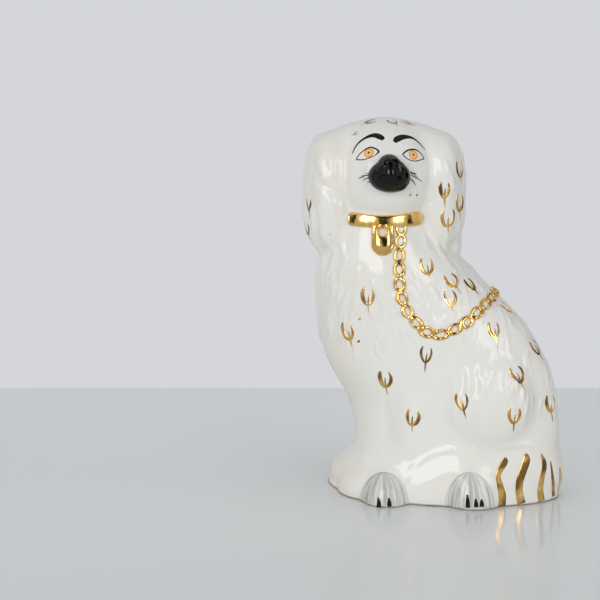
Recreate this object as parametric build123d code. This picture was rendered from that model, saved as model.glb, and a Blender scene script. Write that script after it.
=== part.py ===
"""Seated spaniel mantel figure in hollow glazed earthenware.

Frame: millimetres, +Z up, origin on the underside at the middle of the base.
X runs along the base, chest towards -X and rump towards +X. The head is
turned to look out over the near side, which is -Y.
"""

from build123d import *
import os
from math import copysign, cos, pi, radians, sin

# Whole figure, and how far below the crown the neck ends inside the head
figure_height = 230.0
base_length = 149.0
base_depth = 79.0
neck_drop = 50.0
wall = 5.0
plate_thickness = 5.0
vent_radius = 6.0
vent_offset = 22.0

# Head
head_width = 68.0
head_depth = 76.0
head_height = 69.0
head_turn = 17.0

# Hood: the broad top of the head that runs out over both ears
hood_width = 97.0
hood_depth = 48.0
hood_height = 53.0
hood_drop = 1.0

# Ears
ear_length = 73.0
ear_width = 34.0
ear_depth = 52.0
ear_span = 97.5
ear_drop = 9.0

# Muzzle: the cheeks of the mouth, and the nose on top of them
mouth_width = 25.0
mouth_height = 19.0
mouth_reach = 13.0
mouth_drop = 30.5
nose_width = 16.0
nose_height = 20.0
nose_reach = 14.0
nose_drop = 27.5

# Limbs in relief, the same on both sides: each has its length, its height and the height
# of its middle, how far its middle is from the end of the base (the rump for hind limbs,
# the chest for fore limbs), and how far its side is inside or outside that of the base
haunch_length = 66.0
haunch_height = 70.0
haunch_rise = 62.0
haunch_from_rump = 50.5
haunch_inset = 2.5
shank_length = 56.0
shank_height = 42.0
shank_rise = 18.0
shank_from_rump = 60.5
shank_inset = 1.5
foreleg_length = 38.0
foreleg_height = 96.0
foreleg_rise = 46.0
foreleg_from_chest = 61.5
foreleg_inset = 3.0
foot_length = 54.0
foot_height = 38.0
foot_rise = 3.0
foot_from_chest = 38.5
foot_outset = 1.5

# Tail, laid round the rear corner of the base
tail_length = 62.0
tail_width = 34.0
tail_height = 54.0
tail_rise = 17.0
tail_from_rump = 28.5
tail_inset = 30.7
tail_turn = 30.0

# Paws, placed like the limbs
front_paw_width = 31.0
front_paw_height = 20.0
front_paw_from_chest = 45.5
front_paw_outset = 10.5
hind_paw_width = 37.0
hind_paw_height = 25.5
hind_paw_from_rump = 52.5
hind_paw_outset = 2.5
paw_depth = 34.0

# Collar, padlock and chain, in relief on the neck and body
collar_drop = 55.5
collar_height = 7.0
collar_thickness = 2.4
padlock_width = 13.5
padlock_height = 20.0
padlock_thickness = 3.4
padlock_shift = -4.5
padlock_drop = 69.0
padlock_tilt = 7.0
padlock_eye_radius = 2.6
padlock_eye_rise = 5.0
link_length = 7.8
link_width = 5.8
link_wire = 1.3
link_gap = 0.3
link_lift = 0.15

# Fired enamel, in thin layers that lie on the glaze
layer = 0.4
iris_radius = 3.1
eye_spread = 13.2
eye_drop = 18.5
brow_width = 18.0
brow_height = 10.0
brow_spread = 13.0
brow_drop = 12.5
brow_stroke = 3.6
claw_width = 2.2
claw_height = 6.5
claw_spread = 5.0

# Trunk sections: height share of trunk_height, chest and rump reach as shares of
# half_length, half depth as a share of half_depth, extra breadth of the chest end, and
# how square the chest end is, from 2 for a plain oval
trunk_shares = [
    (0.00, 1.00, 0.95, 1.00, 0.12, 2.0),
    (0.05, 0.97, 0.95, 1.00, 0.12, 2.0),
    (0.10, 0.88, 0.95, 0.96, 0.11, 2.1),
    (0.14, 0.79, 0.95, 0.91, 0.10, 2.2),
    (0.18, 0.76, 0.95, 0.86, 0.08, 2.3),
    (0.25, 0.78, 0.95, 0.82, 0.06, 2.4),
    (0.32, 0.83, 0.93, 0.82, 0.05, 2.4),
    (0.39, 0.93, 0.90, 0.85, 0.05, 2.4),
    (0.46, 1.02, 0.84, 0.88, 0.05, 2.4),
    (0.53, 1.06, 0.75, 0.90, 0.05, 2.4),
    (0.60, 1.08, 0.63, 0.91, 0.04, 2.4),
    (0.68, 1.09, 0.43, 0.91, 0.03, 2.4),
    (0.76, 1.09, 0.21, 0.90, 0.02, 2.4),
    (0.83, 1.05, 0.04, 0.87, 0.00, 2.4),
    (0.89, 0.99, -0.08, 0.83, 0.00, 2.4),
    (0.95, 0.94, -0.14, 0.80, 0.00, 2.4),
    (1.00, 0.88, -0.20, 0.75, 0.00, 2.4),
]
rump_squareness = 2.0
section_count = 16

half_length = base_length / 2
half_depth = base_depth / 2
trunk_height = figure_height - neck_drop
head_setback = (trunk_shares[-1][1] - trunk_shares[-1][2]) / 2 * half_length
head_rise = figure_height - head_height / 2
ear_rise = figure_height - ear_drop - ear_length / 2
front_paw_place = front_paw_from_chest - half_length
front_paw_reach = half_depth + front_paw_outset
hind_paw_place = half_length - hind_paw_from_rump
hind_paw_reach = half_depth + hind_paw_outset
stencil_reach = head_depth / 2
cut_size = 2 * (base_length + figure_height)

# Ear sections: height share of half the ear; the swell at each follows from it
ear_level_shares = (-0.985, -0.9, -0.65, -0.25, 0.2, 0.6, 0.88, 0.985)
ear_fullness = 3

# Chain course: height share of trunk_height, and turn about the trunk in degrees
chain_shares = [
    (0.91, -60), (0.86, -66), (0.80, -74), (0.72, -82), (0.66, -85), (0.61, -82), (0.585, -77),
    (0.60, -66), (0.62, -56), (0.65, -43), (0.68, -25), (0.695, 0), (0.69, 20),
]

# Brow from its outer end, as points in shares of its width and height, each with its
# thickness as a share of the full stroke
brow_shares = [(-0.5, -0.5, 0.1), (-0.3, -0.05, 0.3), (0.05, 0.3, 0.7), (0.4, 0.2, 1.0), (0.5, 0.05, 0.8)]

# Claws on each paw: places as shares of claw_spread
front_claw_shares = (-0.9, 0.6)
hind_claw_shares = (-0.4, 0.7, 1.4)


def signed_power(value, exponent):
    """Power that keeps the sign, for the squared-off ovals of the trunk."""
    return copysign(abs(value) ** exponent, value)


def trunk_row(height_share):
    """The trunk's section at any height, between two rows of trunk_shares."""
    for low, high in zip(trunk_shares, trunk_shares[1:]):
        if height_share <= high[0]:
            part = (height_share - low[0]) / (high[0] - low[0])
            return [a + (b - a) * part for a, b in zip(low, high)]
    return list(trunk_shares[-1])


def trunk_point(row, turn, grow=0.0):
    """A point of one section. Turn 0 is the rump, and -90 degrees the near side."""
    height, chest, rump, depth, broad, chest_squareness = row
    middle = (rump - chest) / 2 * half_length
    reach = (rump + chest) / 2 * half_length + grow
    across = depth * half_depth * (1 - broad * cos(turn)) + grow
    squareness = rump_squareness if cos(turn) > 0 else chest_squareness
    x = middle + reach * signed_power(cos(turn), 2 / squareness)
    y = across * signed_power(sin(turn), 2 / squareness)
    return Vector(x, y, height * trunk_height)


def trunk(grow=0.0):
    """Body and neck as one skin through the sections, every section grown alike."""
    turns = [2 * pi * step / section_count for step in range(section_count)]
    outlines = [
        Spline(*[trunk_point(row, turn, grow) for turn in turns], periodic=True) for row in trunk_shares
    ]
    return loft([make_face(outline) for outline in outlines])


def ellipsoid(centre, length, depth, height, grow=0.0):
    """A rounded mass from its three diameters."""
    radii = (length / 2 + grow, depth / 2 + grow, height / 2 + grow)
    return Pos(*centre) * scale(Sphere(1), by=radii)


def head_location():
    """Where the turned head stands: pieces of the head are built facing -Y."""
    return Pos(-head_setback, 0, 0) * Rot(0, 0, head_turn)


def head(grow=0.0):
    """Skull and face in one rounded mass."""
    return head_location() * ellipsoid((0, 0, head_rise), head_width, head_depth, head_height, grow)


def hood():
    """Broad top of the head, from ear to ear."""
    rise = figure_height - hood_drop - hood_height / 2
    return head_location() * ellipsoid((0, 0, rise), hood_width, hood_depth, hood_height)


def limb(place, rise, length, height, reach, side):
    """A limb in relief, from the middle plane out to its reach on one side."""
    return ellipsoid((place, side * reach / 2, rise), length, reach, height)


def limbs():
    """Haunches, shanks, forelegs and forefeet of both sides."""
    haunch_place = half_length - haunch_from_rump
    shank_place = half_length - shank_from_rump
    foreleg_place = foreleg_from_chest - half_length
    foot_place = foot_from_chest - half_length
    sizes = (
        (haunch_place, haunch_rise, haunch_length, haunch_height, half_depth - haunch_inset),
        (shank_place, shank_rise, shank_length, shank_height, half_depth - shank_inset),
        (foreleg_place, foreleg_rise, foreleg_length, foreleg_height, half_depth - foreleg_inset),
        (foot_place, foot_rise, foot_length, foot_height, half_depth + foot_outset),
    )
    return [limb(*size, side) for side in (-1, 1) for size in sizes]


def slab(low, high):
    """Everything between two heights."""
    return Pos(0, 0, (low + high) / 2) * Box(cut_size, cut_size, high - low)


def above_ground(shape):
    """Cuts away what would reach under the base."""
    return shape - slab(-figure_height, 0)


def figure():
    """Outside of the cast body, without ears, muzzle, tail and paws."""
    body = trunk() + head()
    for mass in [hood(), *limbs()]:
        body = body + mass
    return above_ground(body)


def cavity():
    """Hollow of the cast body, above the plate that closes it."""
    return trunk(-wall) + head(-wall) - slab(-figure_height, plate_thickness)


def base_plate(outer):
    """Closing slab under the body, with the vent beside its middle."""
    vent = Pos(vent_offset, 0, 0) * Cylinder(vent_radius, cut_size)
    return outer & slab(0, plate_thickness) - vent


def body_half(outer, hollow, side):
    """One half of the hollow body, on its side of the mould seam."""
    mould = Pos(0, side * cut_size / 2, plate_thickness + cut_size / 2) * Box(cut_size, cut_size, cut_size)
    return (outer & mould) - hollow


def ear(side):
    """One hanging ear: a lobe that stays wide for most of its length."""
    across = side * (ear_span - ear_width) / 2
    sections = []
    for level in ear_level_shares:
        swell = (1 - abs(level) ** ear_fullness) ** (1 / ear_fullness)
        outline = Ellipse(ear_width / 2 * swell, ear_depth / 2 * swell)
        sections.append(Pos(across, 0, ear_rise + level * ear_length / 2) * outline)
    return head_location() * loft(sections)


def muzzle():
    """Mouth and nose, in front of the face."""
    front = -head_depth / 2
    mouth = ellipsoid((0, front, figure_height - mouth_drop), mouth_width, 2 * mouth_reach, mouth_height)
    nose = ellipsoid((0, front, figure_height - nose_drop), nose_width, 2 * nose_reach, nose_height)
    return head_location() * (mouth + nose)


def paw(place, width, height, reach):
    """A domed paw standing out of the near side of the base."""
    return above_ground(ellipsoid((place, paw_depth / 2 - reach, 0), width, paw_depth, 2 * height))


def tail_location():
    """Middle of the tail, with its length along X."""
    return Pos(half_length - tail_from_rump, tail_inset - half_depth, tail_rise) * Rot(0, 0, tail_turn)


def tail():
    """Low plume that follows the rear corner of the base."""
    return above_ground(tail_location() * ellipsoid((0, 0, 0), tail_length, tail_width, tail_height))


def carried(location, plane):
    """A plane moved along with the piece it was drawn on."""
    return Plane(location * plane.location)


def face_plane(across, drop):
    """Plane before the face, at a place across it and below the crown."""
    front = Plane((across, -head_depth / 2, figure_height - drop), x_dir=(1, 0, 0), z_dir=(0, -1, 0))
    return carried(head_location(), front)


def collar():
    """Strap round the neck."""
    top = figure_height - collar_drop
    return trunk(collar_thickness) & slab(top - collar_height, top)


def padlock():
    """Tongue-shaped lock that hangs from the collar, with an eye through it."""
    tongue = SlotOverall(padlock_height, padlock_width, rotation=90)
    tongue -= Pos(0, padlock_eye_rise) * Circle(padlock_eye_radius)
    plane = face_plane(padlock_shift, padlock_drop)
    return trunk(padlock_thickness) & stencil(Rot(0, 0, -padlock_tilt) * tongue, plane)


def stencil(sketch, plane):
    """A flat drawing pushed through the surface under it."""
    return extrude(plane * sketch, stencil_reach, both=True)


def coat(sketch, plane, carrier):
    """Thin layer of colour that follows the carrier's surface behind a drawing."""
    cap = stencil(sketch, plane) & carrier
    return Pos(*(plane.z_dir * layer)) * cap - carrier


def skin_plane(skin, plane, along):
    """Plane that lies on the skin in front of another plane, its X as near along as can be."""
    point, normal = skin.find_intersection_points(Axis(plane.origin, plane.z_dir))[-1]
    level = along - normal * along.dot(normal)
    return Plane(point + normal * link_lift, x_dir=level, z_dir=normal)


def brush(points, width, height, stroke):
    """One brush stroke along its points, as thick as each point says."""
    places = [Vector(x * width, y * height) for x, y, _ in points]
    left, right = [], []
    for index, (place, point) in enumerate(zip(places, points)):
        before = places[max(index - 1, 0)]
        after = places[min(index + 1, len(places) - 1)]
        across = (after - before).normalized().rotate(Axis.Z, 90) * (stroke * point[2] / 2)
        left.append(place + across)
        right.append(place - across)
    return make_face([Spline(*left), Line(left[-1], right[-1]), Spline(*right), Line(left[0], right[0])])


def link():
    """Open oval link."""
    outside = SlotOverall(link_length, link_width)
    return outside - SlotOverall(link_length - 2 * link_wire, link_width - 2 * link_wire)


def chain_links(skin):
    """Links laid end to end along the chain's course."""
    course = Spline(*[trunk_point(trunk_row(height), radians(turn)) for height, turn in chain_shares])
    count = int(course.length / (link_length + link_gap))
    links = []
    for index in range(count):
        share = (index + 1 / 2) / count
        place = course.position_at(share)
        out = Plane(place, z_dir=Vector(place.X + head_setback / 2, place.Y, 0))
        links.append(extrude(skin_plane(skin, out, course.tangent_at(share)) * link(), link_wire))
    return links


def irises(skull):
    """Amber of both eyes."""
    return [coat(Circle(iris_radius), face_plane(side * eye_spread, eye_drop), skull) for side in (-1, 1)]


def brows(skull):
    """Both brows, thin at the outer end and thick towards the nose."""
    drawing = brush(brow_shares, brow_width, brow_height, brow_stroke)
    right = coat(drawing, face_plane(-brow_spread, brow_drop), skull)
    left = coat(mirror(drawing, Plane.YZ), face_plane(brow_spread, brow_drop), skull)
    return [right, left]


def claws(front, hind):
    """Claw strokes at the foot of both paws."""
    drawing = make_face(Polyline((-claw_width / 2, 0), (claw_width / 2, 0), (0, claw_height), close=True))
    coats = []
    for carrier, place, reach, shares in (
        (front, front_paw_place, front_paw_reach, front_claw_shares),
        (hind, hind_paw_place, hind_paw_reach, hind_claw_shares),
    ):
        for share in shares:
            plane = Plane((place + share * claw_spread, -reach, 0), x_dir=(1, 0, 0), z_dir=(0, -1, 0))
            coats.append(coat(drawing, plane, carrier))
    return coats


def group(shapes):
    """Separate solids that share a node."""
    return Compound([solid for shape in shapes for solid in shape.solids()])


outer = figure()
skin = outer.shell()
hollow = cavity()
ears = {side: ear(side) - outer for side in (-1, 1)}
band = collar()
front_dome = paw(front_paw_place, front_paw_width, front_paw_height, front_paw_reach)
hind_dome = paw(hind_paw_place, hind_paw_width, hind_paw_height, hind_paw_reach)
front_paw = front_dome - outer
hind_paw = hind_dome - outer
plume = tail() - outer - hind_paw

nodes = {
    "base_plate": base_plate(outer),
    "body_front_half": body_half(outer, hollow, -1),
    "body_back_half": body_half(outer, hollow, 1),
    "right_ear": ears[-1],
    "left_ear": ears[1],
    "muzzle": muzzle() - outer,
    "collar": band - outer - ears[-1] - ears[1],
    "padlock": padlock() - band - outer,
    "chain_links": group(chain_links(skin)),
    "front_paw": front_paw,
    "hind_paw": hind_paw,
    "tail": plume,
    "irises": group(irises(head())),
    "brows": group(brows(head())),
    "claws": group(claws(front_dome, hind_dome)),
}

os.makedirs("parts", exist_ok=True)
for name, shape in nodes.items():
    export_step(shape, f"parts/{name}.step")
    print(name, len(shape.solids()), round(shape.volume))
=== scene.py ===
import math
import random

import bmesh
import bpy
from mathutils import Euler, Matrix, Vector
from mathutils.bvhtree import BVHTree
from mathutils.kdtree import KDTree


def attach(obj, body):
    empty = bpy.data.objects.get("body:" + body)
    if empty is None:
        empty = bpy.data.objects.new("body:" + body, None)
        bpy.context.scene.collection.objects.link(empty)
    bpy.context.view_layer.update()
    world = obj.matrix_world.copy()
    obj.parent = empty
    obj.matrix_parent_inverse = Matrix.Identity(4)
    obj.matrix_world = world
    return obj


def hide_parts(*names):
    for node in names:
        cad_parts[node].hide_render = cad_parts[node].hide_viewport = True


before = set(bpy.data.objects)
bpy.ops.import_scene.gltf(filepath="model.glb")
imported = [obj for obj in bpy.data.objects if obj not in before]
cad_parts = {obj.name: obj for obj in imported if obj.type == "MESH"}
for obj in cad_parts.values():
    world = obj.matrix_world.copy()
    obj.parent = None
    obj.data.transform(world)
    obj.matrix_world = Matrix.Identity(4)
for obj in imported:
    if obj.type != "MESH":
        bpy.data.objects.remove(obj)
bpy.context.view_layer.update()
print("frame loaded:", len(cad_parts), "nodes")


# Camera, as the photograph was taken
shot = {
    "place": (0.2108, -1.1341, 0.3740),
    "turn": 15.0,
    "tilt": 12.5,
    "lens": 116.0,
    "sensor": 36.0,
    "pixels": 600,
}
shotPlace = Vector(shot["place"])
shotTurn = Euler((math.radians(90 - shot["tilt"]), 0, math.radians(shot["turn"])))


def addCamera():
    data = bpy.data.cameras.new("camera")
    data.lens = shot["lens"]
    data.sensor_width = shot["sensor"]
    camera = bpy.data.objects.new("camera", data)
    camera.location = shotPlace
    camera.rotation_euler = shotTurn
    bpy.context.scene.collection.objects.link(camera)
    bpy.context.scene.camera = camera


def throughPixel(across, down):  # direction from the lens through a pixel of the photograph
    reach = shot["lens"] / shot["sensor"] * shot["pixels"]
    half = shot["pixels"] / 2
    return (shotTurn.to_matrix() @ Vector((across - half, half - down, -reach))).normalized()


# Shader sockets as values
class Val:
    def __init__(self, tree, socket):
        self.tree = tree
        self.socket = socket

    def math(self, operation, *others):
        node = self.tree.nodes.new("ShaderNodeMath")
        node.operation = operation
        for index, item in enumerate((self, *others)):
            plug(self.tree, node.inputs[index], item)
        return Val(self.tree, node.outputs[0])

    def __add__(self, other):
        return self.math("ADD", other)

    def __radd__(self, other):
        return self.math("ADD", other)

    def __sub__(self, other):
        return self.math("SUBTRACT", other)

    def __rsub__(self, other):
        return self * -1.0 + other

    def __mul__(self, other):
        return self.math("MULTIPLY", other)

    def step(self, low, high):  # soft step from 0 at low to 1 at high
        node = self.tree.nodes.new("ShaderNodeMapRange")
        node.interpolation_type = "SMOOTHSTEP"
        plug(self.tree, node.inputs["Value"], self)
        node.inputs["From Min"].default_value = low
        node.inputs["From Max"].default_value = high
        return Val(self.tree, node.outputs["Result"])


def plug(tree, socket, item):
    if isinstance(item, Val):
        tree.links.new(item.socket, socket)
    else:
        socket.default_value = item


class Finish:  # one material with a Principled shader
    def __init__(self, name, **fixed):
        self.material = bpy.data.materials.new(name)
        self.material.use_nodes = True
        self.tree = self.material.node_tree
        self.shader = self.tree.nodes["Principled BSDF"]
        for label, value in fixed.items():
            self.shader.inputs[label.replace("_", " ")].default_value = value

    def node(self, kind, settings=None, inputs=None, output=0):
        made = self.tree.nodes.new("ShaderNode" + kind)
        for label, value in (settings or {}).items():
            setattr(made, label, value)
        for label, value in (inputs or {}).items():
            plug(self.tree, made.inputs[label], value)
        return Val(self.tree, made.outputs[output])

    def place(self, stretch=(1, 1, 1), turn=(0, 0, 0), source="Object"):
        spot = self.node("TexCoord", output=source)
        return self.node("Mapping", {}, {"Vector": spot, "Scale": stretch, "Rotation": turn})

    def noise(self, spot, scale, detail=2.0, rough=0.5, twist=0.0):
        values = {"Vector": spot, "Scale": scale, "Detail": detail, "Roughness": rough, "Distortion": twist}
        return self.node("TexNoise", {}, values)

    def blend(self, share, low, high):
        made = self.tree.nodes.new("ShaderNodeMix")
        made.data_type = "RGBA"
        plug(self.tree, made.inputs[0], share)
        plug(self.tree, made.inputs[6], low)
        plug(self.tree, made.inputs[7], high)
        return Val(self.tree, made.outputs[2])

    def bump(self, height, strength, distance):
        values = {"Height": height, "Strength": strength, "Distance": distance}
        self.feed("Normal", self.node("Bump", {}, values))

    def feed(self, label, item):
        plug(self.tree, self.shader.inputs[label], item)


faceMiddle = (-0.030, -0.034, 0.200)


def whiteGlaze():
    made = Finish("white_glaze", Coat_Roughness=0.05, Specular_IOR_Level=0.0)
    spot = made.place()
    height = made.node("SeparateXYZ", {}, {"Vector": spot}, "Z")
    along = made.node("SeparateXYZ", {}, {"Vector": spot}, "X")
    cloud = made.noise(spot, 14.0, 3.0)
    cream = cloud.step(0.35, 0.75) * 0.5 + along.step(-0.02, -0.07) * height.step(0.12, 0.03) * 0.7
    colour = made.blend(cream, (0.83, 0.82, 0.775, 1), (0.80, 0.76, 0.67, 1))
    pool = made.noise(spot, 60.0, 2.0).step(0.6, 0.75) * 0.35
    colour = made.blend(pool, colour, (0.76, 0.76, 0.74, 1))
    speck = made.node("TexVoronoi", {"feature": "F1"}, {"Vector": spot, "Scale": 90.0}, "Distance")
    rare = made.noise(spot, 23.0, 1.0).step(0.66, 0.72)
    colour = made.blend(speck.step(0.10, 0.04) * rare * 0.7, colour, (0.62, 0.47, 0.25, 1))
    # partly painted shade: the dark brown line up to 1.6 mm along the foot is a painted contact shadow where
    # the figure meets the floor, together with the brown unglazed edge
    rim = height.step(0.0016, 0.0004)
    colour = made.blend(rim * 0.8, colour, (0.20, 0.13, 0.07, 1))
    under = height.step(0.0003, 0.0001)
    colour = made.blend(under, colour, (0.66, 0.58, 0.46, 1))
    made.feed("Base Color", colour)
    made.feed("Roughness", 0.22 + made.noise(spot, 35.0).step(0.3, 0.8) * 0.12 + under * 0.5)
    made.feed("Coat Weight", 0.65 - under * 0.65)
    away = made.node("VectorMath", {"operation": "DISTANCE"}, {0: spot, 1: faceMiddle}, "Value")
    furry = away.step(0.026, 0.040) * height.step(0.045, 0.075)
    hair = made.noise(made.place((1, 1, 0.22)), 210.0, 2.0, 0.5, 0.6) * furry
    swell = made.noise(spot, 70.0, 1.0) * 0.5 + hair * 0.6
    made.bump(swell, 0.35, 0.0020)
    return made.material


def brightGold():
    made = Finish("bright_gold", Metallic=1.0)
    spot = made.place()
    tone = made.noise(spot, 180.0, 3.0)
    colour = made.blend(tone.step(0.35, 0.7), (0.80, 0.48, 0.13, 1), (0.93, 0.66, 0.28, 1))
    thin = made.noise(spot, 420.0, 2.0).step(0.62, 0.75)
    colour = made.blend(thin * 0.5, colour, (0.62, 0.40, 0.20, 1))
    made.feed("Base Color", colour)
    made.feed("Roughness", 0.10 + made.noise(spot, 260.0, 2.0).step(0.4, 0.8) * 0.14)
    made.bump(made.noise(spot, 500.0, 2.0), 0.08, 0.0004)
    return made.material


def brushedGoldPaintedReflections():
    made = Finish("brushed_gold_painted_reflections", Metallic=1.0)
    spot = made.place()
    # painted reflections: noise mixes dark bronze patches, standing for mirrored dark surroundings, and pale
    # patches, standing for mirrored lamps, into the gold of the brush strokes
    tone = made.noise(spot, 110.0, 1.0)
    colour = made.blend(tone.step(0.36, 0.56), (0.26, 0.15, 0.05, 1), (0.84, 0.49, 0.14, 1))
    colour = made.blend(tone.step(0.58, 0.72), colour, (0.95, 0.72, 0.42, 1))
    made.feed("Base Color", colour)
    made.feed("Roughness", 0.14 + made.noise(spot, 300.0, 2.0).step(0.4, 0.8) * 0.12)
    made.bump(made.noise(spot, 500.0, 2.0), 0.06, 0.0004)
    return made.material


def wornGoldPaintedReflection():
    made = Finish("worn_gold_painted_reflection", Coat_Weight=0.3, Coat_Roughness=0.1, Specular_IOR_Level=0.0)
    spot = made.place()
    # partly wear, partly painted reflection: the dark grey-brown, mostly unmetallic colour stands for the
    # dark space above that the crown sprigs' upward faces mirror
    tone = made.noise(spot, 160.0, 2.0).step(0.38, 0.62)
    made.feed("Base Color", made.blend(tone, (0.20, 0.17, 0.15, 1), (0.46, 0.34, 0.27, 1)))
    made.feed("Metallic", tone * 0.3)
    made.feed("Roughness", 0.3 + tone * 0.2)
    made.bump(made.noise(spot, 500.0, 2.0), 0.06, 0.0004)
    return made.material


def blackEnamel():
    made = Finish("black_enamel", Coat_Weight=0.55, Coat_Roughness=0.03, Specular_IOR_Level=0.0)
    spot = made.place((1, 1, 0.5))
    hairs = made.noise(spot, 600.0, 3.0)
    colour = made.blend(hairs.step(0.4, 0.8), (0.0015, 0.0015, 0.0015, 1), (0.007, 0.0065, 0.0065, 1))
    made.feed("Base Color", colour)
    made.feed("Roughness", 0.3 + hairs.step(0.3, 0.8) * 0.2)
    made.bump(made.noise(spot, 350.0, 2.0), 0.05, 0.0004)
    return made.material


def greyWash():
    made = Finish("grey_wash", Coat_Weight=0.65, Coat_Roughness=0.05, Specular_IOR_Level=0.0)
    across = made.node("SeparateXYZ", {}, {"Vector": made.place(source="UV")}, "X")
    broad = made.noise(made.place((5, 0.35, 1), source="UV"), 1.6, 2.0, 0.5)
    fine = made.noise(made.place((26, 0.8, 1), source="UV"), 1.6, 2.0, 0.6)
    share = (broad * 0.6 + fine * 0.4 + across * 0.04).step(0.35, 0.63)
    colour = made.blend(share, (0.37, 0.361, 0.336, 1), (0.77, 0.76, 0.72, 1))
    fade = (across * across).step(0.80, 1.0) * 0.7
    made.feed("Base Color", made.blend(fade, colour, (0.82, 0.815, 0.78, 1)))
    made.feed("Roughness", 0.2 + share * 0.12)
    made.bump(fine, 0.08, 0.0003)
    return made.material


def brushedBlack():
    made = Finish("brushed_black", Coat_Weight=0.25, Coat_Roughness=0.1, Specular_IOR_Level=0.0)
    spot = made.place((1.5, 14, 1), source="UV")
    hairs = made.noise(spot, 2.0, 3.0, 0.6)
    colour = made.blend(hairs.step(0.45, 0.75), (0.004, 0.004, 0.004, 1), (0.06, 0.06, 0.06, 1))
    made.feed("Base Color", colour)
    made.feed("Roughness", 0.28 + hairs.step(0.3, 0.8) * 0.2)
    made.bump(hairs, 0.15, 0.0003)
    return made.material


def amberEnamel():
    made = Finish("amber_enamel", Coat_Weight=1.0, Coat_Roughness=0.05, Specular_IOR_Level=0.0)
    flat = made.place(source="UV")
    off = made.node("VectorMath", {"operation": "DISTANCE"}, {0: flat, 1: (0.5, 0.5, 0)}, "Value") * 2
    cloud = made.noise(flat, 6.0, 2.0)
    rim = (off + cloud * 0.5 - 0.25).step(0.45, 0.95)
    colour = made.blend(rim, (0.98, 0.60, 0.17, 1), (0.80, 0.32, 0.07, 1))
    colour = made.blend(off.step(0.34, 0.22), colour, (0.14, 0.10, 0.09, 1))
    made.feed("Base Color", colour)
    made.feed("Roughness", 0.2 + cloud * 0.15)
    made.bump(cloud, 0.1, 0.0003)
    return made.material


finishes = {
    "white_glaze": whiteGlaze(),
    "gilding": brightGold(),
    "black_enamel": blackEnamel(),
    "grey_wash": greyWash(),
    "amber_enamel": amberEnamel(),
}
strokeFinishes = {"black_enamel": brushedBlack(), "gilding": brushedGoldPaintedReflections(), "worn_dark_reflection": wornGoldPaintedReflection()}
print("finishes made:", len(finishes) + len(strokeFinishes))


# Shared mesh helpers
mergeGap = 1e-6
strokeShape = {"dome": 0.6, "step": 0.02}
bandSection = (0.55, 0.6)  # powers that square off the strap's section, across and out
hairSteps = 6
edgeSearch = {"reach": 0.080, "step": 0.001, "foot": 0.0008}


def newPiece(name, bm, slot, nodes=(), material=None):
    mesh = bpy.data.meshes.new(name)
    bmesh.ops.recalc_face_normals(bm, faces=bm.faces)
    for face in bm.faces:
        face.smooth = True
    bm.to_mesh(mesh)
    bm.free()
    mesh.materials.append(material or finishes[slot])
    piece = bpy.data.objects.new(name, mesh)
    bpy.context.scene.collection.objects.link(piece)
    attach(piece, "root")
    if nodes:
        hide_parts(*nodes)
    print("piece", name, len(mesh.polygons), "faces")
    return piece


def copyNodes(names):  # merged copies of solids in one mesh
    bm = bmesh.new()
    for name in names:
        bm.from_mesh(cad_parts[name].data)
    bmesh.ops.remove_doubles(bm, verts=bm.verts, dist=mergeGap)
    return bm


def remeshed(bm, voxel):  # one even skin round everything in the mesh
    mesh = bpy.data.meshes.new("lump")
    bm.to_mesh(mesh)
    bm.free()
    lump = bpy.data.objects.new("lump", mesh)
    bpy.context.scene.collection.objects.link(lump)
    modifier = lump.modifiers.new("remesh", "REMESH")
    modifier.mode = "VOXEL"
    modifier.voxel_size = voxel
    bpy.context.view_layer.update()
    even = bpy.data.meshes.new_from_object(lump.evaluated_get(bpy.context.evaluated_depsgraph_get()))
    bpy.data.objects.remove(lump)
    made = bmesh.new()
    made.from_mesh(even)
    return made


def inOrder(items):  # mesh elements once each, as they are met, so that every run is alike
    return list(dict.fromkeys(items))


def islandsOf(bm):
    left = set(bm.verts)
    found = []
    for start in bm.verts:
        if start not in left:
            continue
        left.remove(start)
        island = [start]
        for vert in island:
            fresh = [edge.other_vert(vert) for edge in vert.link_edges]
            fresh = [other for other in fresh if other in left]
            left.difference_update(fresh)
            island.extend(fresh)
        found.append(island)
    return found


def dropIslands(bm, unwanted):
    crumbs = [vert for island in islandsOf(bm) if unwanted(island) for vert in island]
    bmesh.ops.delete(bm, geom=crumbs, context="VERTS")


def middleOf(island):
    return sum((vert.co for vert in island), Vector()) / len(island)


def smoothed(bm, rounds, fixed=None):
    verts = [v for v in bm.verts if fixed is None or not fixed(v.co)]
    axes = {"use_axis_x": True, "use_axis_y": True, "use_axis_z": True}
    for _ in range(rounds):
        bmesh.ops.smooth_vert(bm, verts=verts, factor=0.5, **axes)


def spun(bm, geom, steps):  # turns a profile once round the upright axis
    turn = 2 * math.pi
    bmesh.ops.spin(bm, geom=geom, cent=(0, 0, 0), axis=(0, 0, 1), angle=turn, steps=steps, use_merge=True)


def addTurned(bm, profile, place, steps=32):  # ring-shaped solid from a closed profile of radius and height
    known = set(bm.verts)
    verts = [bm.verts.new((radius, 0, height)) for radius, height in profile]
    edges = [bm.edges.new((verts[index - 1], vert)) for index, vert in enumerate(verts)]
    spun(bm, verts + edges, steps)
    fresh = [vert for vert in bm.verts if vert not in known]
    bmesh.ops.transform(bm, matrix=place, verts=fresh)
    bmesh.ops.remove_doubles(bm, verts=fresh, dist=mergeGap)


def addBall(bm, place, radii):
    shape = place @ Matrix.Diagonal((*radii, 1))
    bmesh.ops.create_uvsphere(bm, u_segments=32, v_segments=20, radius=1, matrix=shape)


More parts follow.
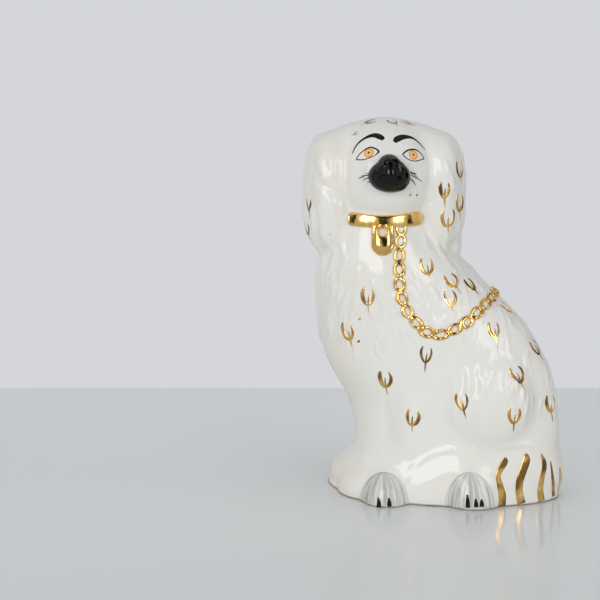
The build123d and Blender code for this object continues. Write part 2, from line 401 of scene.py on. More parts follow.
def alongCourse(points, share):  # smooth curve through its points
    last = len(points) - 1
    spot = min(share, 0.999999) * last  # stays inside the last span
    index = int(spot)
    t = spot - index
    a, b, c, d = (points[min(max(index + step, 0), last)] for step in (-1, 0, 1, 2))
    return 0.5 * (2 * b + (c - a) * t + (2 * a - 5 * b + 4 * c - d) * t**2 + (3 * b - a - 3 * c + d) * t**3)


def courseWay(points, share):  # direction of a curve at a place along it
    step = strokeShape["step"]
    return alongCourse(points, min(share + step, 1)) - alongCourse(points, max(share - step, 0))


def seenAt(tree, across, down):  # the place that a pixel shows, or the nearest to its ray past an edge
    ray = throughPixel(across, down)
    spot, normal, _, _ = tree.ray_cast(shotPlace, ray)
    if spot is None:
        count = round(edgeSearch["reach"] / edgeSearch["step"])
        offs = [shotPlace.length + edgeSearch["step"] * index for index in range(-count, count + 1)]
        closest = min((shotPlace + ray * off for off in offs), key=lambda place: tree.find_nearest(place)[3])
        closest.z = max(closest.z, edgeSearch["foot"])  # on the wall, not under it
        spot, normal, _, _ = tree.find_nearest(closest)
    return spot, normal


class Skin:  # finds places on a finished surface
    def __init__(self, piece):
        bm = bmesh.new()
        bm.from_mesh(piece.data)
        self.tree = BVHTree.FromBMesh(bm)
        bm.free()

    def atPixel(self, across, down):
        return seenAt(self.tree, across, down)

    def under(self, spot, normal, reach=0.012):  # the surface below a place just over it
        hit, out, _, _ = self.tree.ray_cast(spot + normal * reach, -normal, 2 * reach)
        if hit is None:
            hit, out, _, _ = self.tree.find_nearest(spot)
        return hit, out


def backSheet(bm, skin, grid, depth):  # gives a sheet that lies on the surface its thickness
    faces = inOrder(face for vert in grid for face in vert.link_faces)
    made = bmesh.ops.extrude_face_region(bm, geom=faces, use_keep_orig=True)["geom"]
    for vert in (item for item in made if isinstance(item, bmesh.types.BMVert)):
        _, out, _, _ = skin.tree.find_nearest(vert.co)
        vert.co -= out * depth


def layStroke(bm, skin, points, lift, steps=14, lanes=4):  # one brush stroke: points are x, y, z, width
    bm.loops.layers.uv.verify()
    grid = bmesh.ops.create_grid(bm, x_segments=steps, y_segments=lanes, size=0.5, calc_uvs=True)["verts"]
    for vert in grid:
        share = vert.co.x + 0.5
        lane = vert.co.y * 2
        here = alongCourse(points, share)
        ahead = courseWay(points, share)
        _, normal, _, _ = skin.tree.find_nearest(here.xyz)
        side = normal.cross(ahead.xyz).normalized()
        spot, out = skin.under(here.xyz + side * (lane * here.w / 2), normal)
        vert.co = spot + out * (lift * (1 - strokeShape["dome"] * lane * lane))
    backSheet(bm, skin, grid, 2 * lift)


def bulged(value, power):  # power that keeps the sign
    return math.copysign(abs(value) ** power, value)


def layBand(bm, skin, points, thick, steps, around):  # one strap in relief, with a rounded section
    known = set(bm.verts)
    flat, proud = bandSection
    grid = bmesh.ops.create_grid(bm, x_segments=steps, y_segments=around, size=0.5)["verts"]
    for vert in grid:
        share = vert.co.x + 0.5
        turn = (vert.co.y + 0.5) * 2 * math.pi
        here = alongCourse(points, share)
        ahead = courseWay(points, share)
        _, normal, _, _ = skin.tree.find_nearest(here.xyz)
        side = normal.cross(ahead.xyz).normalized()
        spot, out = skin.under(here.xyz + side * (bulged(math.cos(turn), flat) * here.w / 2), normal)
        vert.co = spot + out * (thick * bulged(math.sin(turn), proud))
    bmesh.ops.remove_doubles(bm, verts=grid, dist=mergeGap)
    fresh = [vert for vert in bm.verts if vert not in known]
    rims = inOrder(edge for vert in fresh for edge in vert.link_edges if edge.is_boundary)
    bmesh.ops.holes_fill(bm, edges=rims, sides=0)


def pixelStroke(bm, skin, marks, lift, steps=14):  # marks are pixel, pixel, width
    points = [Vector((*skin.atPixel(across, down)[0], width)) for across, down, width in marks]
    layStroke(bm, skin, points, lift, steps)


class Carver:  # raises and cuts soft lines in a mesh
    def __init__(self, bm):
        bm.normal_update()
        bm.verts.ensure_lookup_table()
        self.bm = bm
        self.tree = BVHTree.FromBMesh(bm)
        self.near = KDTree(len(bm.verts))
        for index, vert in enumerate(bm.verts):
            self.near.insert(vert.co, index)
        self.near.balance()
        self.moves = {}

    def line(self, spots, radius, height, steps=12):
        reach = {}
        for step in range(steps + 1):
            share = step / steps
            fade = math.sin(math.pi * (0.08 + 0.84 * share)) ** 0.7  # soft ends
            for _, index, off in self.near.find_range(alongCourse(spots, share), radius):
                weight = fade * (1 - (off / radius) ** 2) ** 2
                reach[index] = max(reach.get(index, 0), weight)
        for index, weight in reach.items():
            self.moves[index] = self.moves.get(index, 0) + weight * height

    def pixelLine(self, marks, radius, height, steps=16):
        self.line([seenAt(self.tree, *mark)[0] for mark in marks], radius, height, steps)

    def lock(self, spot, way, length, radius, height, bend):  # one lock of hair that follows the surface
        spots = []
        for step in range(hairSteps):
            spot, normal, _, _ = self.tree.find_nearest(spot)
            spots.append(spot)
            flat = (way - normal * way.dot(normal)).normalized()
            side = normal.cross(flat) * (bend * math.sin(step * 1.3))
            spot = spot + (flat + side) * (length / (hairSteps - 1))
        self.line(spots, radius, height)

    def apply(self, most):
        for index, move in self.moves.items():
            vert = self.bm.verts[index]
            vert.co += vert.normal * max(-most, min(most, move))


# The glazed body: every clay piece under one skin of glaze
clay = {
    "nodes": ["base_plate", "body_front_half", "body_back_half", "right_ear", "left_ear", "tail"],
    "underWash": ["front_paw", "hind_paw"],
    "voxel": 0.0011,
    "rounds": 14,
    "flankRounds": 50,
    "flank": (0.012, 0.125),
    "foot": 0.0012,
    "crownRounds": 40,
    "crown": 0.212,
    "headTurn": math.radians(17),
    "headBack": -0.0402,
    "ventPlace": 0.022,
    "ventCup": [(0.0060, 0.003), (0.0060, 0.028), (0, 0.028), (0, 0.031), (0.0082, 0.031), (0.0082, 0.003)],
    "least": 0.2285,
    "tuft": ((0.0005, 0.0060, 0.1520), (0.0062, 0.0070, 0.0125)),  # hair under the far ear: middle, radii
}
coatHair = {
    "count": 560,
    "low": 0.055,
    "high": 0.152,
    "length": (0.008, 0.016),
    "radius": (0.0016, 0.0025),
    "height": (0.00045, 0.0009),
    "most": 0.0013,
    "wander": 0.2,
    "bend": 0.35,
    "axis": (-0.03, 0.3, 0.11),  # middle of the body: place along x, its slope, and the rise it holds at
    "cast": 0.2,
    "bare": (0.098, 2.0, 0.062),  # no hair below: rise at the chest, its slope to the rump, least rise
    "leans": [(-0.045, -0.35), (0.0, 0.35), (1.0, -0.15)],  # up to this x, lean of the hair
}
earHair = {
    "count": 30,
    "across": 0.033,
    "start": (0.168, 0.207),
    "length": (0.020, 0.036),
    "radius": (0.0026, 0.0038),
    "height": (0.0006, 0.0011),
    "bend": (0.15, 0.5),
    "jitter": 0.8,
    "cast": 0.03,
}
creases = [  # pixel course, radius, height
    ([(347, 158), (346, 172), (347, 188), (350, 204)], 0.0034, -0.0009),
    ([(431, 158), (431, 172), (428, 188), (424, 205)], 0.0034, -0.0009),
    ([(446, 378), (447, 400), (446, 441)], 0.0050, -0.0007),
    ([(385, 401), (386, 420), (385, 441)], 0.0045, -0.0006),
    ([(405, 480), (415, 466), (430, 455), (450, 450), (475, 450)], 0.0032, 0.0005),
    ([(500, 447), (526, 445), (553, 446)], 0.0030, 0.0008),
    ([(319, 157), (321, 168), (326, 180)], 0.0042, 0.0010),
    ([(331, 156), (333, 168), (335, 176)], 0.0040, 0.0009),
    ([(318, 184), (325, 186), (331, 191), (333, 198)], 0.0036, -0.0011),
    ([(320, 188), (322, 198), (321, 208)], 0.0038, 0.0009),
    ([(329, 194), (331.5, 203), (331, 212)], 0.0036, 0.0010),
    ([(341, 205), (344, 211)], 0.0030, 0.0008),
    ([(440, 158), (444, 164), (445, 176)], 0.0040, 0.0009),
    ([(427, 214), (431, 205)], 0.0028, 0.0008),
    ([(424, 234), (426, 242), (428, 248)], 0.0032, 0.0008),
    ([(454, 372), (456, 384), (455, 395)], 0.0026, 0.0007),
    ([(461, 367), (463, 380), (462, 393)], 0.0026, -0.0007),
    ([(468, 369), (469, 382), (468, 397)], 0.0026, 0.0007),
    ([(474, 371), (476, 384), (475, 395)], 0.0026, -0.0007),
    ([(482, 375), (483, 388), (482, 399)], 0.0026, 0.0007),
]


def headSpot(across, rise):  # a place in the turned head's own frame, on its middle plane
    turn = clay["headTurn"]
    return Vector((clay["headBack"] + across * math.cos(turn), across * math.sin(turn), rise))


def growCoat(carver):
    dice = random.Random(7)
    start, slope, level = coatHair["axis"]
    bareHigh, bareSlope, bareLow = coatHair["bare"]
    for _ in range(coatHair["count"]):
        turn = dice.uniform(0, 2 * math.pi)
        rise = dice.uniform(coatHair["low"], coatHair["high"])
        sizes = [dice.uniform(*coatHair[label]) for label in ("length", "radius", "height")]
        wander = dice.uniform(-coatHair["wander"], coatHair["wander"])
        bend = dice.uniform(-coatHair["bend"], coatHair["bend"])
        out = Vector((math.cos(turn), math.sin(turn), 0))
        middle = Vector((start - slope * (rise - level), 0, rise))
        spot, _, _, _ = carver.tree.ray_cast(middle + out * coatHair["cast"], -out)
        if spot is None or spot.z < max(bareHigh - bareSlope * max(spot.x, 0), bareLow):
            continue
        lean = next(lean for edge, lean in coatHair["leans"] if spot.x < edge)
        carver.lock(spot, Vector((lean + wander, 0, -1)), *sizes, bend)


def growEars(carver):
    dice = random.Random(3)
    for side in (-1, 1):
        for index in range(earHair["count"]):
            turn = 2 * math.pi * (index + dice.uniform(0, earHair["jitter"])) / earHair["count"]
            rise = dice.uniform(*earHair["start"])
            sizes = [dice.uniform(*earHair[label]) for label in ("length", "radius", "height")]
            bend = dice.uniform(*earHair["bend"]) * (-1) ** index
            out = Vector((math.cos(turn), math.sin(turn), 0))
            middle = headSpot(side * earHair["across"], rise)
            spot, _, _, _ = carver.tree.ray_cast(middle + out * earHair["cast"], -out)
            if spot is not None:
                carver.lock(spot, Vector((0, 0, -1)), *sizes, bend)


def glazedBody():
    bm = copyNodes(clay["nodes"] + clay["underWash"])
    addTurned(bm, clay["ventCup"], Matrix.Translation((clay["ventPlace"], 0, 0)))
    middle, radii = clay["tuft"]
    addBall(bm, Matrix.Translation(middle), radii)
    bm = remeshed(bm, clay["voxel"])
    dropIslands(bm, lambda island: max(vert.co.z for vert in island) < clay["least"])  # the inside wall
    smoothed(bm, clay["rounds"], lambda spot: spot.z < clay["foot"])
    low, high = clay["flank"]
    smoothed(bm, clay["flankRounds"], lambda spot: not low < spot.z < high)
    smoothed(bm, clay["crownRounds"], lambda spot: spot.z < clay["crown"])
    carver = Carver(bm)
    growCoat(carver)
    growEars(carver)
    for marks, radius, height in creases:
        carver.pixelLine(marks, radius, height)
    carver.apply(coatHair["most"])
    smoothed(bm, 1, lambda spot: spot.z < clay["foot"])
    return newPiece("glazed_body", bm, "white_glaze", clay["nodes"])


body = glazedBody()
skin = Skin(body)
print("body skinned")


# Muzzle and strap from their solids, rounded off, with lines cut in the muzzle; paw washes and the lock laid
# as sheets on the skin
muzzleFacts = {
    "bridge": [  # masses that fill the cheeks: across, out, drop from the crown, then the three radii
        ((0.0008, 0.0375, 0.0290), (0.0102, 0.0125, 0.0090)),
        ((0.0007, 0.0375, 0.0322), (0.0117, 0.0118, 0.0080)),
        ((0.0046, 0.0405, 0.0345), (0.0060, 0.0075, 0.0047)),
    ],
    "crown": 0.230,
    "voxel": 0.0005,
    "rounds": 16,
    "most": 0.0016,
    "lines": [  # pixel course, radius, height
        ([(376.0, 173.0), (378.5, 174)], 0.0020, -0.0008),
        ([(402.5, 172.5), (405, 171)], 0.0020, -0.0008),
        ([(390, 159.5), (384, 164.5), (378.5, 171)], 0.0018, 0.0016),
        ([(394, 159.5), (398.5, 164), (401.5, 172)], 0.0018, 0.0016),
        ([(378, 183), (385, 187), (393, 188.5), (401, 187.5), (407, 183)], 0.0016, -0.0005),
    ],
}


def muzzlePiece():
    bm = copyNodes(["muzzle"])
    turn = Matrix.Rotation(clay["headTurn"], 4, "Z")
    head = Matrix.Translation((clay["headBack"], 0, muzzleFacts["crown"])) @ turn
    for (across, out, drop), radii in muzzleFacts["bridge"]:
        addBall(bm, head @ Matrix.Translation((across, -out, -drop)), radii)
    bm = remeshed(bm, muzzleFacts["voxel"])
    smoothed(bm, muzzleFacts["rounds"])
    carver = Carver(bm)
    for marks, radius, height in muzzleFacts["lines"]:
        carver.pixelLine(marks, radius, height)
    carver.apply(muzzleFacts["most"])
    newPiece("nose_and_mouth", bm, "black_enamel", ["muzzle"])


pawFacts = {  # pixel at the middle of the foot, reach across and up in pixels
    "front_paw": {"middle": (383.8, 506.5), "reach": (25.2, 34.5)},
    "hind_paw": {"middle": (469.4, 508.0), "reach": (25.4, 36.0)},
    "steps": (40, 16),
    "lift": 0.0003,
    "least": 2e-5,
    "pole": 0.02,
}


def pawPiece(node):
    bm = bmesh.new()
    (middle, foot), (wide, tall) = pawFacts[node]["middle"], pawFacts[node]["reach"]
    turns, rings = pawFacts["steps"]
    grid = bmesh.ops.create_grid(bm, x_segments=turns, y_segments=rings, size=0.5, calc_uvs=True)["verts"]
    uv = bm.loops.layers.uv.verify()
    for loop in (loop for face in bm.faces for loop in face.loops):
        turn = (loop.vert.co.x + 0.5) * math.pi
        off = loop.vert.co.y + 0.5
        across, up = off * math.cos(turn), off * math.sin(turn)
        loop[uv].uv = (across / math.sqrt(max(1 - up * up, pawFacts["pole"])), up)  # streaks meet at the top
    for vert in grid:
        turn = (vert.co.x + 0.5) * math.pi
        off = vert.co.y + 0.5
        spot, normal = skin.atPixel(middle + wide * off * math.cos(turn), foot - tall * off * math.sin(turn))
        vert.co = spot + normal * (pawFacts["lift"] * (1.2 - off**6))
    bmesh.ops.remove_doubles(bm, verts=bm.verts, dist=pawFacts["least"])
    backSheet(bm, skin, list(bm.verts), 3 * pawFacts["lift"])
    newPiece(node + "_wash", bm, "grey_wash", [node])


strapFacts = {
    "course": [  # pixel, pixel, width
        (348.8, 219.0, 0.0050), (350.6, 219.1, 0.0078), (355, 219.3, 0.0084), (370, 221.0, 0.0080),
        (385, 222.0, 0.0078), (400, 220.8, 0.0080), (414.5, 218.8, 0.0084), (419.0, 218.2, 0.0078),
        (420.8, 218.0, 0.0050),
    ],
    "thick": 0.0019,
    "voxel": 0.00045,
    "rounds": 5,
    "steps": (64, 24),
}


def strapPiece():
    bm = copyNodes(["collar"])
    dropIslands(bm, lambda island: middleOf(island).y < 0)
    bm = remeshed(bm, strapFacts["voxel"])
    smoothed(bm, strapFacts["rounds"])
    points = [Vector((*skin.atPixel(across, down)[0], wide)) for across, down, wide in strapFacts["course"]]
    layBand(bm, skin, points, strapFacts["thick"], *strapFacts["steps"])
    newPiece("neck_strap", bm, "gilding", ["collar"])


lockFacts = {  # places from the middle of the eye: across, up
    "eye": (382.8, 231.2),
    "eyeRadius": 0.0026,
    "halfWidth": 0.0067,
    "top": 0.0050,
    "bendDrop": 0.0078,
    "plate": 0.0018,
    "edge": 0.0012,
    "boss": 0.0022,
    "bossTop": 0.0080,
    "bossDrop": 0.0122,
    "bossHalf": [0.0014, 0.0040, 0.0054, 0.0056, 0.0036],
    "steps": (72, 16),
    "edgeRound": 0.75,
    "bossPower": 3.5,
    "bossFade": 6,
    "bossRim": 1.5,
    "least": 1e-6,
}


def lockReach(turn):  # from the eye's middle to the tongue's outline
    across, up = math.cos(turn), math.sin(turn)
    half, drop = lockFacts["halfWidth"], lockFacts["bendDrop"]
    reach = half / max(abs(across), lockFacts["least"])
    if up > 0:
        return min(reach, lockFacts["top"] / up)
    if reach * -up <= drop:
        return reach
    return -up * drop + math.sqrt(half**2 - (across * drop) ** 2)


def lockHeight(across, up, inward):  # height of the relief, rounded off at the edges
    edge = min(inward / lockFacts["edge"], 1)
    plate = lockFacts["plate"] * math.sqrt(1 - lockFacts["edgeRound"] * (1 - edge) ** 2)
    top, low = lockFacts["bossTop"], -lockFacts["bossDrop"]
    share = (top - up) / (top - low)
    if not 0 < share < 1:
        return plate
    widths = [Vector((half, 0)) for half in lockFacts["bossHalf"]]
    half = alongCourse(widths, share).x
    swell = max(1 - abs(across / half) ** lockFacts["bossPower"], 0)
    swell *= min(1, lockFacts["bossFade"] * (1 - share))
    return plate + lockFacts["boss"] * math.sqrt(swell) * min(edge * lockFacts["bossRim"], 1)


def lockPiece():
    bm = bmesh.new()
    middle, normal = skin.atPixel(*lockFacts["eye"])
    side = Vector((0, 0, 1)).cross(normal).normalized()
    rise = normal.cross(side)
    turns, rings = lockFacts["steps"]
    grid = bmesh.ops.create_grid(bm, x_segments=turns, y_segments=rings, size=0.5)["verts"]
    for vert in grid:
        turn = (vert.co.x + 0.5) * 2 * math.pi
        span = lockReach(turn) - lockFacts["eyeRadius"]
        off = lockFacts["eyeRadius"] + span * (vert.co.y + 0.5)
        across, up = off * math.cos(turn), off * math.sin(turn)
        inward = span * (0.5 - abs(vert.co.y))
        here, _ = skin.under(middle + side * across + rise * up, normal)
        vert.co = here + normal * lockHeight(across, up, inward)
    bmesh.ops.remove_doubles(bm, verts=bm.verts, dist=mergeGap)
    backSheet(bm, skin, list(bm.verts), lockFacts["plate"] + lockFacts["boss"])
    newPiece("hanging_lock", bm, "gilding", ["padlock"])


muzzlePiece()
pawPiece("front_paw")
pawPiece("hind_paw")
strapPiece()
lockPiece()


# Chain: an oval link on the skin where each solid link lies
linkFacts = {
    "length": 0.0092,
    "width": 0.0070,
    "wire": 0.00092,
    "sink": 0.0004,
    "first": (401.0, 228.6),  # pixel of the link under the collar
    "steps": 28,
    "wireSides": 10,
}


def linkRing():  # one oval ring, flat, round the origin
    bm = bmesh.new()
    wire = linkFacts["wire"]
    narrow = linkFacts["width"] / 2 - wire
    longer = linkFacts["length"] / 2 - wire
    place = Matrix.Translation((narrow, 0, 0)) @ Matrix.Rotation(math.pi / 2, 4, "X")
    made = bmesh.ops.create_circle(bm, segments=linkFacts["wireSides"], radius=wire, matrix=place)
    edges = inOrder(edge for vert in made["verts"] for edge in vert.link_edges)
    spun(bm, made["verts"] + edges, linkFacts["steps"])
    bmesh.ops.remove_doubles(bm, verts=bm.verts, dist=mergeGap)
    bmesh.ops.recalc_face_normals(bm, faces=bm.faces)
    for vert in bm.verts:
        vert.co.x *= longer / narrow
    mesh = bpy.data.meshes.new("ring")
    bm.to_mesh(mesh)
    bm.free()
    return mesh


def layRing(bm, ring, spot, along):
    spot, normal, _, _ = skin.tree.find_nearest(spot)
    along = (along - normal * along.dot(normal)).normalized()
    side = normal.cross(along)
    known = len(bm.verts)
    bm.from_mesh(ring)
    bm.verts.ensure_lookup_table()
    for vert in bm.verts[known:]:
        here, out = skin.under(spot + along * vert.co.x + side * vert.co.y, normal)
        vert.co = here + out * (vert.co.z + linkFacts["wire"] - linkFacts["sink"])


def chainPiece():
    ring = linkRing()
    solids = copyNodes(["chain_links"])
    spots = [middleOf(island) for island in islandsOf(solids)]
    solids.free()
    start = skin.atPixel(*linkFacts["first"])[0]
    ordered = [start]
    while spots:
        nearest = min(spots, key=lambda spot: (spot - ordered[-1]).length)
        spots.remove(nearest)
        ordered.append(nearest)
    bm = bmesh.new()
    for index, spot in enumerate(ordered):
        before = ordered[max(index - 1, 0)]
        after = ordered[min(index + 1, len(ordered) - 1)]
        layRing(bm, ring, spot, after - before)
    newPiece("chain", bm, "gilding", ["chain_links"])


chainPiece()


# Painted strokes. Courses are in pixels of the photograph, widths and lifts in metres
paint = {"lift": 0.00014, "thin": 0.0006, "tip": 0.0002, "sag": 0.5}
eyeFacts = {
    "irisRadius": 0.0030,
    "steps": (32, 6),
    "dome": 1.6,
    "irises": [(368.9, 152.8), (413.3, 154.8)],
    "lids": [
        [(356.2, 159.4, 0.0006), (360.3, 153.4, 0.0007), (369.5, 147.4, 0.0010), (376.4, 149.2, 0.0010),
         (379.0, 152.0, 0.0012)],
        [(379.0, 151.8, 0.0012), (375.2, 155.1, 0.0005), (369.5, 157.9, 0.0005), (362.6, 159.8, 0.0006),
         (356.2, 159.6, 0.0006)],
        [(402.4, 154.4, 0.0008), (407.9, 150.3, 0.0010), (415.4, 149.7, 0.0010), (421.1, 153.8, 0.0007),
         (424.0, 158.6, 0.0007)],
        [(402.4, 154.6, 0.0006), (409.1, 159.7, 0.0006), (416.0, 161.0, 0.0006), (424.0, 158.8, 0.0006)],
    ],
}
browFacts = [
    [(352.3, 153.6, 0.0006), (356.8, 144.9, 0.0011), (364.9, 138.2, 0.0019), (374.1, 135.2, 0.0035),
     (380.5, 137.2, 0.0038), (383.4, 139.6, 0.0022)],
    [(394.6, 142.2, 0.0022), (397.2, 139.2, 0.0040), (403.4, 136.8, 0.0037), (410.8, 137.4, 0.0022),
     (417.7, 141.6, 0.0011), (424.8, 149.6, 0.0006)],
]
whiskerFacts = [
    [(371.6, 174.8), (366.0, 173.2)], [(364.5, 176.6), (358.0, 178.8)], [(371.0, 177.3), (362.6, 180.4)],
    [(372.0, 181.8), (367.2, 182.8)], [(370.4, 176.0), (361.6, 175.6)],
    [(410.4, 171.8), (417.7, 177.3)], [(411.4, 175.2), (422.3, 182.0)], [(410.6, 178.8), (416.0, 185.5)],
    [(411.0, 173.6), (416.5, 173.8)],
]
clawFacts = {  # pixel across, foot and tip
    "marks": [
        (379.2, 506.8, 497.5), (389.4, 506.4, 498.0),
        (468.0, 507.6, 494.8), (476.2, 507.0, 498.8), (481.8, 506.6, 499.4),
    ],
    "taper": [(0, 0, 1), (0.2, 0.5, 0.78), (0.7, 1, 0.34)],  # pixels left, shares of height and width
    "width": 0.0038,
    "lift": 0.0006,
}


def irisPiece():
    bm = bmesh.new()
    uv = bm.loops.layers.uv.verify()
    radius = eyeFacts["irisRadius"]
    turns, rings = eyeFacts["steps"]
    for pixel in eyeFacts["irises"]:
        middle, normal = skin.atPixel(*pixel)
        side = Vector((0, 0, 1)).cross(normal).normalized()
        rise = normal.cross(side)
        known = set(bm.verts)
        grid = bmesh.ops.create_grid(bm, x_segments=turns, y_segments=rings, size=0.5)["verts"]
        for vert in grid:
            turn = (vert.co.x + 0.5) * 2 * math.pi
            off = (vert.co.y + 0.5) * radius
            vert.co = (off * math.cos(turn), off * math.sin(turn), 0)
        bmesh.ops.remove_doubles(bm, verts=grid, dist=mergeGap)
        fresh = [vert for vert in bm.verts if vert not in known]
        faces = inOrder(face for vert in fresh for face in vert.link_faces)
        for face in faces:
            for loop in face.loops:
                loop[uv].uv = loop.vert.co.xy / (2 * radius) + Vector((0.5, 0.5))
        for vert in fresh:
            flat = vert.co.copy()
            here, out = skin.under(middle + side * flat.x + rise * flat.y, normal)
            vert.co = here + out * (paint["lift"] * (eyeFacts["dome"] - (flat.length / radius) ** 2))
        backSheet(bm, skin, fresh, 2 * paint["lift"])
    newPiece("eye_irises", bm, "amber_enamel", ["irises"])


def strokePiece(name, courses, slot, nodes=(), steps=16):
    bm = bmesh.new()
    for course in courses:
        pixelStroke(bm, skin, course, paint["lift"], steps)
    newPiece(name, bm, slot, nodes, strokeFinishes[slot])


def clawPiece():
    bm = bmesh.new()
    wide = clawFacts["width"]
    for across, low, high in clawFacts["marks"]:
        marks = [
            (across - left, low + (high - low) * up, share * wide) for left, up, share in clawFacts["taper"]
        ]
        pixelStroke(bm, skin, marks, clawFacts["lift"], 12)
    newPiece("claw_strokes", bm, "black_enamel", ["claws"], strokeFinishes["black_enamel"])


irisPiece()
strokePiece("eyebrows", browFacts, "black_enamel", ["brows"], steps=24)
strokePiece("eye_outlines", eyeFacts["lids"], "black_enamel", steps=20)
whiskers = []
for root, tip in whiskerFacts:
    middle = ((root[0] + tip[0]) / 2, (root[1] + tip[1]) / 2 - paint["sag"])
    whiskers.append([(*root, paint["thin"]), (*middle, paint["thin"]), (*tip, paint["tip"])])
strokePiece("whiskers", whiskers, "black_enamel", steps=10)
clawPiece()


# Gilding: three-pronged sprigs over the coat, and strokes on the tail
sprigFacts = {
    "width": 0.0066,
    "height": 0.0160,
    "prongs": [  # across, up and stroke as shares of width, height and width
        [(-0.40, 0.46, 0.14), (-0.50, 0.28, 0.30), (-0.44, 0.08, 0.30),
         (-0.22, -0.10, 0.24), (0.02, -0.20, 0.12)],
        [(0.42, 0.42, 0.10), (0.50, 0.24, 0.22), (0.42, 0.06, 0.24),
         (0.22, -0.09, 0.20), (0.00, -0.20, 0.12)],
        [(0.06, 0.22, 0.05), (0.04, 0.08, 0.12), (0.01, -0.14, 0.18),
         (0.02, -0.34, 0.13), (0.06, -0.54, 0.04)],
    ],
    "roundProngs": [  # the same strokes, brushed fuller
        [(-0.36, 0.44, 0.18), (-0.54, 0.24, 0.34), (-0.52, 0.02, 0.38),
         (-0.32, -0.16, 0.34), (0.02, -0.22, 0.20)],
        [(0.44, 0.40, 0.14), (0.56, 0.20, 0.28), (0.50, 0.00, 0.34),
         (0.30, -0.15, 0.32), (0.00, -0.22, 0.20)],
        [(0.04, 0.16, 0.06), (0.02, 0.04, 0.16), (0.01, -0.14, 0.20),
         (0.02, -0.32, 0.14), (0.06, -0.50, 0.04)],
    ],
    "wander": 0.22,
    "spots": [  # pixel, pixel, lean in degrees, size
        (368, 300, 0, 1.0), (349, 335, 12, 1.0), (385, 382, 6, 1.0), (426, 358.6, -6, 1.0),
        (427.7, 269.5, 2, 0.95), (454, 283, 10, 0.9), (472, 286.5, 14, 0.85), (450, 301, 8, 0.9),
        (495, 333.6, 2, 0.95), (508, 308.6, 22, 0.85), (537, 349.6, 14, 0.95), (519, 378, 4, 1.0),
        (551, 407, 2, 1.05), (462.7, 405, 12, 1.0), (514.5, 419, 0, 1.0), (412, 420, 0, 0.95),
        (460.7, 172, 4, 1.0), (444.6, 193.6, 0, 0.95), (460, 206, 0, 1.05), (448, 221, 2, 1.0),
        (308.6, 208, 0, 0.8), (306.8, 231, 0, 0.7),
    ],
    "crown": [(368.8, 122, -30, 0.65), (393.8, 122.5, 0, 0.6), (408, 123, 30, 0.65), (355.0, 134, -50, 0.3)],
    "dots": [(359.6, 319), (358.6, 341.6), (410, 195), (417, 195)],
    "dot": [(-0.5, -0.3, 0.5), (0, 0, 1), (0.5, 0.5, 0.5)],
    "dotSize": (0.0014, 0.0018),
}
tailCourses = [
    [(505.4, 457.5, 0.0016), (504.6, 462, 0.0040), (500.2, 470, 0.0034), (498.2, 477, 0.0030),
     (500.4, 487, 0.0040), (502.2, 496, 0.0048), (501.4, 505.8, 0.0050)],
    [(525.6, 453.5, 0.0016), (526.6, 460, 0.0046), (523.0, 471, 0.0048), (519.6, 482, 0.0046),
     (519.2, 492, 0.0046), (521.4, 503.6, 0.0054)],
    [(540.8, 453.5, 0.0010), (544.4, 464, 0.0034), (542.0, 478, 0.0036), (540.2, 489, 0.0042),
     (541.4, 501, 0.0050)],
    [(550.4, 461.5, 0.0008), (552.6, 478, 0.0022), (553.6, 496, 0.0028)],
    [(559.6, 467.5, 0.0014), (560.6, 481, 0.0038), (559.8, 494, 0.0040)],
]


def layMark(bm, strokes, middle, normal, lean, wide, tall):
    rise = Vector((0, 0, 1)) - normal * normal.z
    rise.rotate(Matrix.Rotation(math.radians(lean), 3, normal))
    rise.normalize()
    side = rise.cross(normal)
    for stroke in strokes:
        points = []
        for across, up, thick in stroke:
            spot, _ = skin.under(middle + side * (across * wide) + rise * (up * tall), normal)
            points.append(Vector((*spot, thick * wide)))
        layStroke(bm, skin, points, paint["lift"], 14)


def laySprig(bm, dice, across, down, lean, size):
    middle, normal = skin.atPixel(across, down)
    wander = sprigFacts["wander"]
    fullness = dice.random()
    prongs = []
    for thin, full in zip(sprigFacts["prongs"], sprigFacts["roundProngs"]):
        spread, press = dice.uniform(1 - wander, 1 + wander), dice.uniform(1 - wander, 1 + wander)
        prong = [Vector(a).lerp(Vector(b), fullness) for a, b in zip(thin, full)]
        prongs.append([(x * spread, y, thick * press) for x, y, thick in prong])
    layMark(bm, prongs, middle, normal, lean, sprigFacts["width"] * size, sprigFacts["height"] * size)


def sprigPiece(name, spots, dots, finish, seed):
    bm = bmesh.new()
    dice = random.Random(seed)
    for spot in spots:
        laySprig(bm, dice, *spot)
    for pixel in dots:
        middle, normal = skin.atPixel(*pixel)
        layMark(bm, [sprigFacts["dot"]], middle, normal, 0, *sprigFacts["dotSize"])
    newPiece(name, bm, "gilding", material=strokeFinishes[finish])


sprigPiece("gilt_sprigs", sprigFacts["spots"], sprigFacts["dots"], "gilding", 11)
# the crown sprigs take gold with a painted dark reflection, partly worn
sprigPiece("crown_sprigs", sprigFacts["crown"], [], "worn_dark_reflection", 5)
strokePiece("tail_strokes", tailCourses, "gilding", steps=22)


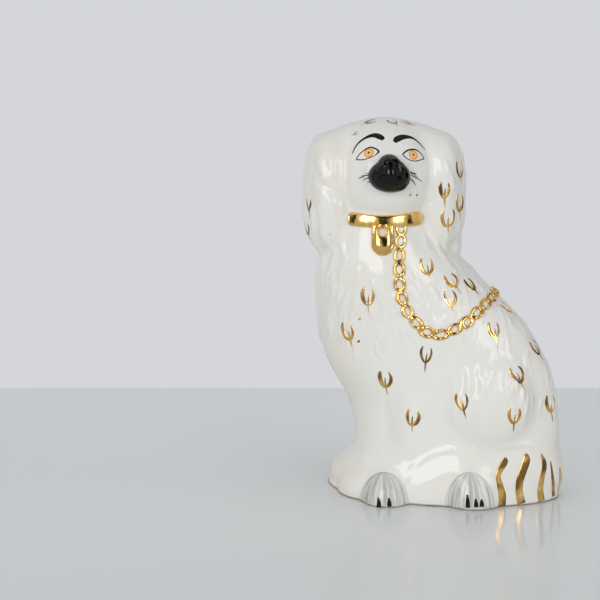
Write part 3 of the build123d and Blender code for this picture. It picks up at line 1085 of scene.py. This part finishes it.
# Floor, light and camera
stage = {
    "floor": (0.745, 0.775, 0.765, 1),
    "cloud": (0.725, 0.755, 0.745, 1),
    "size": 3.0,
    "behind": 0.235,
    "backdrop": (0.665, 0.672, 0.70, 1),
    "card": (0.015, 0.013, 0.012, 1),
    "aim": (0, 0, 0.11),
}
lamps = {  # turn from the camera's side, distance, height, size and power
    "key": {"turn": 32, "far": 2.0, "rise": 0.74, "size": (0.9, 1.2), "power": 11.0},
    "fill": {"turn": -32, "far": 2.0, "rise": 0.74, "size": (0.9, 1.2), "power": 15.5},
    "shelf": {"turn": 0, "far": 0.2, "rise": 1.6, "size": (1.2, 1.2), "power": 7.2},
}
cards = {  # dark cards that the gilding and the black enamel mirror
    "front": {"turn": 0, "far": 2.6, "rise": 1.3, "size": (1.2, 3.0)},
    "nearRight": {"turn": 60, "far": 2.2, "rise": 0.7, "size": (0.55, 1.8)},
    "nearLeft": {"turn": -60, "far": 2.2, "rise": 0.7, "size": (0.3, 1.8)},
    "right": {"turn": 115, "far": 1.7, "rise": 0.7, "size": (1.0, 1.8)},
    "left": {"turn": -105, "far": 1.7, "rise": 0.7, "size": (0.35, 1.8)},
    "over": {"turn": 0, "far": 0.5, "rise": 1.7, "size": (1.1, 1.5)},
}


def studioSpot(facts):  # a place round the object, turned from the camera's side
    turn = math.radians(shot["turn"] + facts["turn"] - 90)
    return Vector((facts["far"] * math.cos(turn), facts["far"] * math.sin(turn), facts["rise"]))


def facing(spot):  # turn that looks from a place to the object
    return (Vector(stage["aim"]) - spot).to_track_quat("-Z", "Y")


def stagePiece(name, bm, material):
    mesh = bpy.data.meshes.new(name)
    bm.to_mesh(mesh)
    bm.free()
    mesh.materials.append(material)
    piece = bpy.data.objects.new(name, mesh)
    bpy.context.scene.collection.objects.link(piece)
    return piece


def addFloor():
    made = Finish("pale_floor", Roughness=0.12)
    cloud = made.noise(made.place(), 3.0)
    made.feed("Base Color", made.blend(cloud, stage["floor"], stage["cloud"]))
    bm = bmesh.new()
    size = stage["size"]
    turn = Matrix.Rotation(math.radians(shot["turn"]), 4, "Z")
    place = turn @ Matrix.Translation((0, stage["behind"] - size, 0))
    bmesh.ops.create_grid(bm, x_segments=1, y_segments=1, size=size, matrix=place)
    return stagePiece("floor", bm, made.material)


def addCards():
    made = Finish("dark_card", Roughness=1.0, Base_Color=stage["card"])
    for name, facts in cards.items():
        spot = studioSpot(facts)
        wide, tall = facts["size"]
        bm = bmesh.new()
        turn = facing(spot).to_matrix().to_4x4()
        place = Matrix.Translation(spot) @ turn @ Matrix.Diagonal((wide, tall, 1, 1))
        bmesh.ops.create_grid(bm, x_segments=1, y_segments=1, size=0.5, matrix=place)
        stagePiece(name + "_card", bm, made.material).visible_camera = False


def addLamps(floor):
    shares = {}  # the glossy floor has a lamp of its own
    for part, state in (("figure", "EXCLUDE"), ("shelf", "INCLUDE")):
        shares[part] = bpy.data.collections.new(part)
        shares[part].objects.link(floor)
        shares[part].collection_objects[0].light_linking.link_state = state
    for name, facts in lamps.items():
        data = bpy.data.lights.new(name, "AREA")
        data.shape = "RECTANGLE"
        data.size, data.size_y = facts["size"]
        data.energy = facts["power"]
        lamp = bpy.data.objects.new(name, data)
        lamp.location = studioSpot(facts)
        lamp.rotation_euler = facing(lamp.location).to_euler()
        lamp.light_linking.receiver_collection = shares["shelf" if name == "shelf" else "figure"]
        bpy.context.scene.collection.objects.link(lamp)
    world = bpy.data.worlds.new("studio")
    world.use_nodes = True
    world.node_tree.nodes["Background"].inputs["Color"].default_value = stage["backdrop"]
    bpy.context.scene.world = world
    bpy.context.scene.view_settings.view_transform = "Standard"


floor = addFloor()
addCards()
addLamps(floor)
addCamera()
print("stage set")
